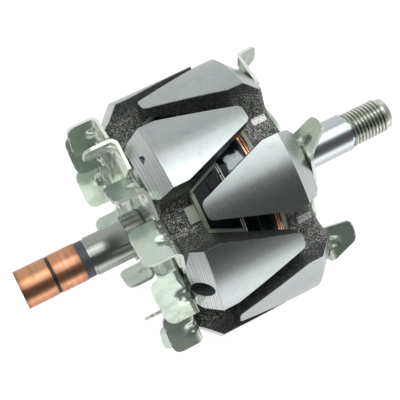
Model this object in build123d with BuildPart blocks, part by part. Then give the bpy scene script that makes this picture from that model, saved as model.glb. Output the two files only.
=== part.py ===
from build123d import *
from math import cos, radians, sin, tan
import os

# Claw-pole rotor of a vehicle alternator, in millimetres.
# The shaft lies along X, slip rings at -X, threaded drive end at +X, Z up.
# The origin is on the shaft's axis at the middle of the pole body.

# Pole body
claw_count = 6
pitch = 360 / claw_count
pole_r = 48.0
face_x = 27.0
land_x = 20.0
face_r = pole_r - 7.0
web_x = 14.0
root_fillet = 4.0
rim_chamfer = 2.0
tip_x = 14.2
claw_half_base = 13.3
claw_half_tip = 3.2
claw_root = 10.4
claw_tip = 3.6
claw_draft = 7
end_run = 4.0
tip_fillet = 2.2
balance_cuts = [(33.4, 24.0, 3.2, 9.0), (-33.3, 24.8, 1.8, 4.6)]

# Shaft
seat_r = 8.5
journal_r = 7.5
thread_r = 7.0
relief_r = 6.3
dog_r = 6.1
shoulder_r = 8.9
shoulder_x = 35.6
rear_end_x = 78.4
journal_end_x = 50.4
drive_journal_x = 59.2
thread_x = 60.8
thread_end_x = 75.2
dog_x = 76.4
shaft_end_x = 78.4
neck_r = 4.2
journal_step = 0.4
end_chamfer = 0.7

# Slip rings, their carrier and the lead strip
ring_r = journal_r - 0.1
ring_bore_r = 6.0
ring_split_x = 65.7
ring_gap = 1.2
ring_inner_x = 54.6
carrier_r = ring_r - 0.25
collar_end_x = 51.4
strip_width = 4.4
strip_angle = 98.0
strip_clearance = 0.1

# Bobbin and field coil under the claws, and the core inside them
wall = 1.3
slip = 0.15
flange_x = web_x - slip
flange_r = pole_r - claw_root - 1.4
wrap_r = flange_r - 0.4
wrap_end_x = 10.4
coil_r = wrap_r - 0.8
coil_depth = 9.55
bobbin_r = coil_r - coil_depth
core_r = bobbin_r - wall - slip
notch_r = core_r + 8.0
petal_reach_x = 2.0
petal_wall = 0.9
rear_petal_overhang = 1.0
drive_petal_overhang = 0.3
tab_width = 6.0
tab_reach = 3.6

# Coil leads
lead_r = 0.6
lead_pitch = 2.0
lead_run_r = (neck_r + ring_bore_r) / 2
lead_hole_r = core_r + 4.5
groove_width = 5.0
groove_depth = 2.4

# Fans
sheet = 1.2
fan_bore_r = 13.0
rear_plate_r = notch_r - 0.6
drive_plate_r = notch_r - 2.0
bend_r = 2.4
lobe_hold = 3.0
gusset = 4.0
gusset_width = 2.8
rear_blade_r = pole_r - 6.65
rear_chord = 16.2
rear_sweep = 48.3
rear_height = 12.7
rear_corner_r = 3.6
rear_fan_angles = [32.9 + 30 * i for i in range(12)]
drive_blade_r = pole_r - 8.8
drive_chord = 13.9
drive_sweep = 44.8
drive_height = 11.4
drive_corner_r = 2.0
drive_lean = 26.0
drive_taper = 6.2
drive_fan_blades = [(-75.8, 3.2), (-7.7, 0), (58.5, 0), (115.0, 0), (171.5, 0), (228.0, 0)]

os.makedirs("parts", exist_ok=True)


def save(part, name):
    part.label = name
    export_step(part, f"parts/{name}.step")


def around(part, angles):
    """Copies of a part turned about the shaft's axis."""
    return [part.rotate(Axis.X, angle) for angle in angles]


def ring(x_from, x_to, inner, outer):
    """Plain tube on the shaft's axis."""
    with BuildPart() as tube:
        with BuildSketch(Plane.YZ.offset(x_from)):
            Circle(outer)
            Circle(inner, mode=Mode.SUBTRACT)
        extrude(amount=x_to - x_from)
    return tube.part


def turned(points):
    """Solid of revolution about the shaft's axis from (x, r) points."""
    with BuildPart() as solid:
        with BuildSketch(Plane.XZ):
            with BuildLine():
                Polyline(*points, close=True)
            make_face()
        revolve(axis=Axis.X)
    return solid.part


def lead_run(clearance):
    """Strip along the shaft, flush with the journal and sunk under the shoulder, for both leads."""
    with BuildPart() as run:
        add(turned([
            (-collar_end_x, neck_r - clearance),
            (-collar_end_x, journal_r - journal_step + clearance),
            (-journal_end_x, journal_r - journal_step + clearance),
            (-journal_end_x, journal_r + clearance),
            (-shoulder_x, journal_r + clearance),
            (-shoulder_x, journal_r - journal_step + clearance),
            (-face_x, journal_r - journal_step + clearance),
            (-face_x, neck_r - clearance),
        ]))
        with BuildSketch(Plane.XY):
            Rectangle(3 * collar_end_x, strip_width + 2 * clearance)
        extrude(amount=pole_r, mode=Mode.INTERSECT)
    return run.part.rotate(Axis.X, strip_angle)


def lead_way():
    """Room for both leads: a groove down the rear face and a hole through the web."""
    with BuildPart() as way:
        with BuildSketch(Plane.XY.offset(neck_r)):
            with Locations((-face_x + groove_depth / 2, 0)):
                Rectangle(groove_depth, groove_width)
        extrude(amount=lead_hole_r - neck_r)
        with BuildSketch(Plane.YZ.offset(-face_x)):
            with Locations((0, lead_hole_r)):
                SlotOverall(groove_width, groove_depth)
        extrude(amount=face_x - flange_x + wall)
    return way.part.rotate(Axis.X, strip_angle)


def coil_lead(side, end_x, radius):
    """One lead: from the coil through the web, down the rear face, then along under its ring."""
    bend_x = -face_x + groove_depth / 2
    with BuildPart() as lead:
        with BuildLine(Plane.XZ.offset(-side * lead_pitch / 2)) as route:
            Polyline(
                (-flange_x + wall, lead_hole_r),
                (bend_x, lead_hole_r),
                (bend_x, lead_run_r),
                (end_x, lead_run_r),
            )
        with BuildSketch(Plane(origin=route.wires()[0] @ 0, z_dir=route.wires()[0] % 0)):
            Circle(radius)
        sweep(transition=Transition.RIGHT)
    return lead.part.rotate(Axis.X, strip_angle)


outer_ring_end_x = -ring_split_x - ring_gap / 2
inner_ring_end_x = -ring_split_x + ring_gap / 2
lead_ends = [(-1, (-rear_end_x + outer_ring_end_x) / 2), (1, (inner_ring_end_x - ring_inner_x) / 2)]
outer_lead, inner_lead = [coil_lead(side, end_x, lead_r) for side, end_x in lead_ends]
lead_tunnels = [coil_lead(side, end_x - slip, lead_r + slip) for side, end_x in lead_ends]
save(outer_lead, "coil_lead_outer")
save(inner_lead, "coil_lead_inner")

# Shaft with bearing journals, body seat, thread length and channel for the leads
with BuildPart() as shaft:
    add(turned([
        (-rear_end_x, 0),
        (-rear_end_x, neck_r),
        (-collar_end_x, neck_r),
        (-collar_end_x, journal_r - journal_step),
        (-journal_end_x, journal_r - journal_step),
        (-journal_end_x, journal_r),
        (-shoulder_x, journal_r),
        (-shoulder_x, shoulder_r),
        (-face_x - sheet, shoulder_r),
        (-face_x - sheet, seat_r),
        (face_x + sheet, seat_r),
        (face_x + sheet, journal_r),
        (drive_journal_x, journal_r),
        (drive_journal_x, relief_r),
        (thread_x, relief_r),
        (thread_x, thread_r),
        (thread_end_x, thread_r),
        (dog_x, dog_r),
        (shaft_end_x - end_chamfer, dog_r),
        (shaft_end_x, dog_r - end_chamfer),
        (shaft_end_x, 0),
    ]))
    add(lead_run(strip_clearance), mode=Mode.SUBTRACT)
    add(lead_way(), mode=Mode.SUBTRACT)
save(shaft.part, "shaft")

# Moulded strip that holds both leads in the shaft's channel
with BuildPart() as lead_strip:
    add(lead_run(0))
    for tunnel in lead_tunnels:
        add(tunnel, mode=Mode.SUBTRACT)
save(lead_strip.part, "lead_strip")

# Slip rings on their insulating carrier
with BuildPart() as ring_carrier:
    add(turned([
        (-rear_end_x, neck_r),
        (-rear_end_x, ring_bore_r),
        (outer_ring_end_x, ring_bore_r),
        (outer_ring_end_x, carrier_r),
        (inner_ring_end_x, carrier_r),
        (inner_ring_end_x, ring_bore_r),
        (-ring_inner_x, ring_bore_r),
        (-ring_inner_x, carrier_r),
        (-collar_end_x, carrier_r),
        (-collar_end_x, neck_r),
    ]))
    for tunnel in lead_tunnels:
        add(tunnel, mode=Mode.SUBTRACT)
save(ring_carrier.part, "ring_carrier")
save(ring(-rear_end_x, outer_ring_end_x, ring_bore_r, ring_r), "slip_ring_outer")
save(ring(inner_ring_end_x, -ring_inner_x, ring_bore_r, ring_r), "slip_ring_inner")

# Pole core between the two claw halves
save(ring(-web_x, web_x, seat_r, core_r), "pole_core")


def claw_prism(half_base, half_tip, reach, tip_round):
    """Straight-sided claw outline seen from outside, drawn down to the shaft; the base is at +X."""
    with BuildPart() as prism:
        with BuildSketch(Plane.XY.offset(pole_r)) as plan:
            with BuildLine():
                Polyline(
                    (face_x + end_run, half_base),
                    (web_x, half_base),
                    (-reach, half_tip),
                    (-reach, -half_tip),
                    (web_x, -half_base),
                    (face_x + end_run, -half_base),
                    close=True,
                )
            make_face()
            fillet(plan.vertices().group_by(Axis.X)[0], tip_round)
        extrude(amount=-(pole_r - core_r + 2), taper=claw_draft)
    return prism.part


# Length of one claw beyond the web: the outline cut to the turned outside and the sloping inside
with BuildPart() as claw:
    add(turned([
        (web_x, pole_r - claw_root),
        (web_x, pole_r),
        (-tip_x, pole_r),
        (-tip_x, pole_r - claw_tip),
    ]))
    add(claw_prism(claw_half_base, claw_half_tip, tip_x, tip_fillet), mode=Mode.INTERSECT)


def pole_half(angles):
    """Web with a round-bottomed notch between each two claws, base at +X, claws on the given angles."""
    inner_half, outer_half = [
        claw_half_base - (pole_r - radius) * tan(radians(claw_draft)) for radius in (core_r, pole_r + 1)
    ]
    with BuildPart() as half:
        with BuildSketch(Plane.YZ.offset(web_x)) as section:
            Circle(notch_r)
            with PolarLocations(0, claw_count, start_angle=angles[0]):
                Polygon(
                    (-inner_half, core_r),
                    (inner_half, core_r),
                    (outer_half, pole_r + 1),
                    (-outer_half, pole_r + 1),
                    align=None,
                )
            fillet(section.vertices().group_by(lambda corner: round(Vector(corner).length, 3))[0], root_fillet)
            Circle(seat_r, mode=Mode.SUBTRACT)
        extrude(amount=face_x - web_x)
        add(turned([(web_x, 0), (web_x, pole_r), (land_x, pole_r), (face_x, face_r), (face_x, 0)]), mode=Mode.INTERSECT)
        rim = half.faces().sort_by(Axis.X)[-1].outer_wire().edges()
        chamfer(rim.group_by(lambda edge: round(Vector(edge @ 0.5).length, 3))[:-1], rim_chamfer)
        for piece in around(claw.part, angles):
            add(piece)
    return half.part


drive_claws = [pitch * i for i in range(claw_count)]
rear_claws = [pitch * (i + 0.5) for i in range(claw_count)]
save(pole_half(drive_claws), "drive_pole_half")

with BuildPart() as rear_half:
    add(mirror(pole_half(rear_claws), about=Plane.YZ))
    for angle, along, radius, depth in balance_cuts:
        with Locations(Plane.XY.rotated((angle, 0, 0)).offset(pole_r)):
            with Locations((-along, 0)):
                Cylinder(radius, 2 * depth, mode=Mode.SUBTRACT)
    add(lead_way(), mode=Mode.SUBTRACT)
save(rear_half.part, "rear_pole_half")


def petal_band(x_from, x_to, inset):
    """Thin cone just inside the claws' sloping inner faces, with its root on the flange."""
    def under(x):
        return pole_r - claw_root + (claw_root - claw_tip) * (web_x - x) / (web_x + tip_x) - inset
    return turned([
        (x_from, flange_r - 1),
        (x_from, under(x_from)),
        (x_to, under(x_to)),
        (x_to, under(x_to) - petal_wall),
        (x_from - wall, under(x_from) - petal_wall),
        (x_from - wall, flange_r - 1),
    ])


def petal(overhang):
    """Petal of the bobbin, tucked under a claw and a little wider than it."""
    with BuildPart() as leaf:
        add(petal_band(flange_x, petal_reach_x, slip))
        add(claw_prism(claw_half_base + overhang, claw_half_tip + overhang, tip_x, 1.0), mode=Mode.INTERSECT)
    return leaf.part


# One tab of the bobbin, folded over the bottom of a notch
with BuildPart() as tab:
    add(ring(flange_x - wall, web_x + tab_reach, notch_r + slip, notch_r + slip + wall))
    with BuildSketch(Plane.XY):
        Rectangle(3 * web_x, tab_width)
    extrude(amount=pole_r, mode=Mode.INTERSECT)


def bobbin_side(angles, overhang, tab_angles):
    """Flange, petals and tabs at the +X end."""
    with BuildPart() as side:
        add(ring(flange_x - wall, flange_x, bobbin_r - wall, flange_r))
        for piece in around(petal(overhang), angles):
            add(piece)
        for piece in around(tab.part, tab_angles):
            add(piece)
    return side.part


with BuildPart() as bobbin:
    add(ring(-flange_x, flange_x, bobbin_r - wall, bobbin_r))
    add(bobbin_side(drive_claws, drive_petal_overhang, []))
    add(mirror(bobbin_side(rear_claws, rear_petal_overhang, drive_claws), about=Plane.YZ))
    add(lead_way(), mode=Mode.SUBTRACT)
save(bobbin.part, "bobbin")

# Field winding, and the varnished wrap over all but its last turns
save(ring(-flange_x + wall, flange_x - wall, bobbin_r, coil_r), "field_coil")
save(ring(-flange_x + wall, wrap_end_x, coil_r, wrap_r), "coil_wrap")


def fan_blade(plate_r, middle_r, chord, sweep_angle, height, corner_r, lean=0, taper=0):
    """Blade bent up from its lobe, swept across the radius, with a pressed gusset at the bend."""
    lobe = middle_r - plate_r + lobe_hold
    along = Vector(0, -sin(radians(sweep_angle)), cos(radians(sweep_angle)))
    section = Plane(origin=(face_x, 0, middle_r), x_dir=(1, 0, 0), z_dir=along)
    up = Vector(cos(radians(lean)), sin(radians(lean)))
    inward = Vector(up.Y, -up.X)
    crook = Vector(sheet, (up.Y - 1) * sheet / up.X)
    outer_corner = section.origin + along * chord / 2
    trim = Plane(
        origin=outer_corner,
        x_dir=section.from_local_coords(inward) - section.origin,
        z_dir=(section.from_local_coords(up * height) - section.origin - along * taper).cross(
            section.from_local_coords(inward) - section.origin
        ),
    )
    with BuildPart() as blade:
        with BuildSketch(section) as profile:
            with BuildLine():
                Polyline(
                    (0, -lobe),
                    (0, 0),
                    up * height,
                    up * height + inward * sheet,
                    crook,
                    (sheet, -lobe),
                    close=True,
                )
            make_face()
            fillet(profile.vertices().sort_by_distance((0, 0))[0], bend_r + sheet)
            fillet(profile.vertices().sort_by_distance(crook)[0], bend_r)
        extrude(amount=chord / 2, both=True)
        split(bisect_by=trim, keep=Keep.TOP)
        free_edge = blade.faces().sort_by(Axis.X)[-1]
        fillet(free_edge.edges().filter_by(lambda edge: edge.length < 1.2 * sheet), corner_r)
        with BuildSketch(section):
            Polygon(crook, crook + up * gusset, crook - Vector(0, gusset), align=None)
        extrude(amount=gusset_width / 2, both=True)
    return blade.part


def fan(plate_r, blades):
    """Pressed fan on the +X face of a pole half."""
    with BuildPart() as pressing:
        add(ring(face_x, face_x + sheet, fan_bore_r, plate_r))
        for blade in blades:
            add(blade)
    return pressing.part


drive_blades = [
    fan_blade(
        drive_plate_r,
        drive_blade_r + further_out,
        drive_chord,
        drive_sweep,
        drive_height,
        drive_corner_r,
        drive_lean,
        drive_taper,
    ).rotate(Axis.X, angle)
    for angle, further_out in drive_fan_blades
]
save(fan(drive_plate_r, drive_blades), "drive_fan")
rear_blade = fan_blade(rear_plate_r, rear_blade_r, rear_chord, rear_sweep, rear_height, rear_corner_r)
save(mirror(fan(rear_plate_r, around(rear_blade, rear_fan_angles)), about=Plane.YZ), "rear_fan")
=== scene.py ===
"""Claw-pole alternator rotor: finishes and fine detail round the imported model.

Everything is in metres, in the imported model's own frame: the shaft lies along X, with the
slip rings at -X and the threaded end at +X. Angles round the shaft start at +Z and rise
towards -Y.
"""

import logging
import math
from collections.abc import Iterable
from dataclasses import dataclass, field, replace
from enum import Enum
from typing import Any

import bmesh
import bpy
from mathutils import Euler, Matrix, Vector


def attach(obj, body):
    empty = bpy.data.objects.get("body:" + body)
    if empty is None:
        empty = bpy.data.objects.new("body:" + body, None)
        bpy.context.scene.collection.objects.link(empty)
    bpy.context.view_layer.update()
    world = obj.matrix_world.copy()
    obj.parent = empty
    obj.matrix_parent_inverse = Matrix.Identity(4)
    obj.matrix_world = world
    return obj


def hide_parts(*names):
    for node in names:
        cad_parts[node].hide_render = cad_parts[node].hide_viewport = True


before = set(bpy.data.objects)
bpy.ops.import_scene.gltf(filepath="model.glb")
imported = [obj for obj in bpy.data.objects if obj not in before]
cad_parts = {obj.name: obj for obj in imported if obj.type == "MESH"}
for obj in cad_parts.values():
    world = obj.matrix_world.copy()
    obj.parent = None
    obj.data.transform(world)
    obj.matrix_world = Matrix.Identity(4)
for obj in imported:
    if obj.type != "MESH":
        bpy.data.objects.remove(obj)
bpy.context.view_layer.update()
MM = 0.001
WHITE = (1.0, 1.0, 1.0, 1.0)
log = logging.getLogger("rotor")

Colour = tuple[float, float, float]
Span = tuple[float, float]
Noise = tuple[float, ...]
Socket = bpy.types.NodeSocket
Value = float | bpy.types.NodeSocket


class End(Enum):
    """The two ends of the rotor, by the side of the pole body that they lie on."""

    REAR = -1
    DRIVE = 1


@dataclass(frozen=True)
class Sizes:
    """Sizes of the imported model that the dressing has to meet, in metres."""

    pole_r: float = 48.0 * MM
    land_x: float = 20.0 * MM
    face_x: float = 27.0 * MM
    face_r: float = 41.0 * MM
    web_x: float = 14.0 * MM
    sheet: float = 1.2 * MM
    notch_r: float = 32.0 * MM
    fan_bore_r: float = 13.0 * MM
    bend_r: float = 2.4 * MM
    lobe_hold: float = 3.0 * MM
    coil_r: float = 35.0 * MM
    coil_x: float = 12.55 * MM
    wrap_end_x: float = 10.4 * MM
    thread_x: float = 60.8 * MM
    thread_end_x: float = 75.2 * MM
    dog_x: float = 76.4 * MM
    thread_r: float = 7.0 * MM
    dog_r: float = 6.1 * MM
    relief_r: float = 6.3 * MM
    thread_pitch: float = 1.5 * MM


SIZES = Sizes()


class Graph:
    """Adds shader nodes to one material or world."""

    def __init__(self, owner: bpy.types.Material | bpy.types.World) -> None:
        """Start an empty node tree.

        Args:
            owner: the material or world that the nodes belong to.
        """
        owner.use_nodes = True
        self.tree = owner.node_tree
        self.tree.nodes.clear()

    def add(
        self, kind: str, inputs: dict[int | str, Any] | None = None, **settings: Any
    ) -> bpy.types.Node:
        """Add one node.

        Args:
            kind: the node's type.
            inputs: values or sockets for its inputs.
            settings: the node's own properties.

        Returns:
            The new node.
        """
        node = self.tree.nodes.new(kind)
        for name, value in settings.items():
            setattr(node, name, value)
        for key, value in (inputs or {}).items():
            if isinstance(value, bpy.types.NodeSocket):
                self.tree.links.new(value, node.inputs[key])
            else:
                node.inputs[key].default_value = value
        return node

    def math(self, operation: str, *values: Value) -> Socket:
        """Combine numbers.

        Args:
            operation: the sum to do.
            values: numbers or sockets.

        Returns:
            The result's socket.
        """
        return self.add("ShaderNodeMath", dict(enumerate(values)), operation=operation).outputs[0]

    def times(self, first: Value, second: Value) -> Socket:
        """Multiply two numbers.

        Args:
            first: number or socket.
            second: number or socket.

        Returns:
            The product's socket.
        """
        return self.math("MULTIPLY", first, second)

    def gap(self, value: Value, place: float) -> Socket:
        """Give how far a value is from a place, either way.

        Args:
            value: number or socket.
            place: what it is set against.

        Returns:
            The distance's socket.
        """
        return self.math("ABSOLUTE", self.math("SUBTRACT", value, place))

    def hypot(self, first: Value, second: Value) -> Socket:
        """Give the length of a line from its two parts at right angles.

        Args:
            first: number or socket.
            second: number or socket.

        Returns:
            The length's socket.
        """
        squares = self.math("ADD", self.times(first, first), self.times(second, second))
        return self.math("SQRT", squares)

    def steps(self, value: Value, low: float, high: float) -> Socket:
        """Rise smoothly from 0 at low to 1 at high.

        Args:
            value: the socket to read.
            low: where the rise starts, which may be above high.
            high: where it ends.

        Returns:
            The result's socket.
        """
        inputs = {"Value": value, "From Min": low, "From Max": high}
        return self.add("ShaderNodeMapRange", inputs, interpolation_type="SMOOTHSTEP").outputs[0]

    def spread(self, value: Value, low: float, high: float) -> Socket:
        """Turn 0 to 1 into low to high.

        Args:
            value: the socket to read.
            low: what 0 becomes.
            high: what 1 becomes.

        Returns:
            The result's socket.
        """
        inputs = {"Value": value, "To Min": low, "To Max": high}
        return self.add("ShaderNodeMapRange", inputs).outputs[0]

    def mix(self, share: Value, first: Colour | Socket, second: Colour | Socket) -> Socket:
        """Mix two colours.

        Args:
            share: how much of the second shows.
            first: colour or socket.
            second: colour or socket.

        Returns:
            The mixed colour's socket.
        """
        node = self.add("ShaderNodeMix", {0: share}, data_type="RGBA")
        for index, colour in ((6, first), (7, second)):
            if isinstance(colour, bpy.types.NodeSocket):
                self.tree.links.new(colour, node.inputs[index])
            else:
                node.inputs[index].default_value = (*colour, 1.0)
        return node.outputs[2]

    def xyz(self) -> tuple[Socket, Socket, Socket]:
        """Give the point's place in the model's frame, in metres."""
        place = self.add("ShaderNodeTexCoord").outputs["Object"]
        parts = self.add("ShaderNodeSeparateXYZ", {0: place})
        return parts.outputs[0], parts.outputs[1], parts.outputs[2]

    def axial(self) -> tuple[Socket, Socket]:
        """Give the distance along the shaft and the radius from its axis."""
        x, y, z = self.xyz()
        return x, self.hypot(y, z)

    def off_angle(self, angle: float) -> Socket:
        """Give how far a point is, round the shaft, from the nearest of six even places.

        Args:
            angle: one of the places, in degrees.

        Returns:
            The angle between them in degrees, 0 to 30.
        """
        _, y, z = self.xyz()
        turn = self.math("DEGREES", self.math("ARCTAN2", self.times(y, -1.0), z))
        return self.math("PINGPONG", self.math("SUBTRACT", turn, angle), 30.0)

    def drilling(self, angle: float, at_x: float, radius: float) -> Socket:
        """Mark the inside of a hole drilled towards the shaft.

        Args:
            angle: its place round the shaft, in degrees.
            at_x: its place along the shaft.
            radius: its radius.

        Returns:
            The mark's socket, 1 inside the hole.
        """
        cos, sin = math.cos(math.radians(angle)), math.sin(math.radians(angle))
        x, y, z = self.xyz()
        side = self.math("ADD", self.times(y, cos), self.times(z, sin))
        out = self.math("SUBTRACT", self.times(z, cos), self.times(y, sin))
        away = self.hypot(side, self.gap(x, at_x))
        inside = self.steps(away, radius + 0.35 * MM, radius + 0.1 * MM)
        return self.times(inside, self.steps(out, 0.0, 1 * MM))

    def noise(self, size: float, detail: float = 3.0, rough: float = 0.55) -> Socket:
        """Give solid noise.

        Args:
            size: the size of its blotches in metres.
            detail: octaves.
            rough: how strong the finer octaves are.

        Returns:
            The noise's socket, about 0 to 1.
        """
        place = self.add("ShaderNodeTexCoord").outputs["Object"]
        inputs = {"Vector": place, "Scale": 1.0 / size, "Detail": detail, "Roughness": rough}
        return self.add("ShaderNodeTexNoise", inputs).outputs[0]

    def lathe_marks(self, size: float) -> Socket:
        """Give noise that only changes along the shaft, as a turning tool leaves it.

        Args:
            size: the width of a mark in metres.

        Returns:
            The noise's socket, about 0 to 1.
        """
        x, _, _ = self.xyz()
        inputs = {"W": x, "Scale": 1.0 / size, "Detail": 4.0, "Roughness": 0.7}
        return self.add("ShaderNodeTexNoise", inputs, noise_dimensions="1D").outputs[0]

    def bump(self, height: Value, depth: float, normal: Socket | None = None) -> Socket:
        """Turn a height into a bumped normal.

        Args:
            height: the socket to read, 0 to 1.
            depth: what a height of 1 is, in metres.
            normal: an earlier bump to add to.

        Returns:
            The normal's socket.
        """
        inputs = {"Height": height, "Distance": depth, "Strength": 1.0}
        if normal is not None:
            inputs["Normal"] = normal
        return self.add("ShaderNodeBump", inputs).outputs[0]

    def finish(self, inputs: dict[str, Any]) -> None:
        """Add the surface shader and the output.

        Args:
            inputs: the shader's inputs.
        """
        shader = self.add("ShaderNodeBsdfPrincipled", inputs)
        self.add("ShaderNodeOutputMaterial", {0: shader.outputs[0]})


@dataclass(frozen=True)
class Finish:
    """One surface finish. Subclasses draw it."""

    name: str

    def make(self) -> bpy.types.Material:
        """Build the material.

        Returns:
            The new material.
        """
        material = bpy.data.materials.new(self.name)
        self.draw(Graph(material))
        return material

    def draw(self, graph: Graph) -> None:
        """Add the finish's nodes.

        Args:
            graph: where they go.
        """
        raise NotImplementedError


@dataclass(frozen=True)
class GroundSteel(Finish):
    """Ground shaft: olive grey at the rings, bright at the drive end, dark thread roots."""

    colour: Colour = (0.36, 0.38, 0.35)
    clouded: Colour = (0.27, 0.29, 0.26)
    banded: Colour = (0.16, 0.17, 0.15)
    bright: Colour = (0.55, 0.60, 0.61)
    crest: Colour = (0.72, 0.75, 0.70)
    root: Colour = (0.17, 0.17, 0.13)
    cloud: Noise = (9 * MM, 3)
    cloud_share: float = 0.45
    band: float = 0.7 * MM
    band_edge: Span = (0.52, 0.62)
    band_share: float = 0.22
    bright_x: Span = (30.0 * MM, 34.0 * MM)
    thread_x: Span = (SIZES.thread_x - 0.3 * MM, SIZES.thread_x + 0.1 * MM)
    root_r: Span = (6.8 * MM, 6.2 * MM)
    end_x: Span = (SIZES.thread_end_x - 0.2 * MM, SIZES.thread_end_x + 0.1 * MM)
    mark: float = 0.16 * MM
    mark_depth: float = 0.007 * MM
    bright_smoother: float = 0.75
    roughness: Span = (0.18, 0.34)

    def draw(self, graph: Graph) -> None:
        """Add the nodes of the ground steel.

        Args:
            graph: where they go.
        """
        x, radius = graph.axial()
        drive = graph.steps(x, *self.bright_x)
        marks = graph.lathe_marks(self.mark)
        cloud = graph.times(graph.noise(*self.cloud), self.cloud_share)
        bands = graph.steps(graph.lathe_marks(self.band), *self.band_edge)
        tone = graph.mix(cloud, self.colour, self.clouded)
        tone = graph.mix(graph.times(bands, self.band_share), tone, self.banded)
        tone = graph.mix(drive, tone, self.bright)
        thread = graph.mix(graph.steps(radius, *self.root_r), self.crest, self.root)
        tone = graph.mix(graph.steps(x, *self.thread_x), tone, thread)
        tone = graph.mix(graph.steps(x, *self.end_x), tone, self.crest)
        relief = graph.math("SUBTRACT", 1.0, graph.times(drive, self.bright_smoother))
        graph.finish({
            "Base Color": tone,
            "Metallic": 1.0,
            "Roughness": graph.spread(marks, *self.roughness),
            "Normal": graph.bump(graph.times(marks, relief), self.mark_depth),
        })


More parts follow.
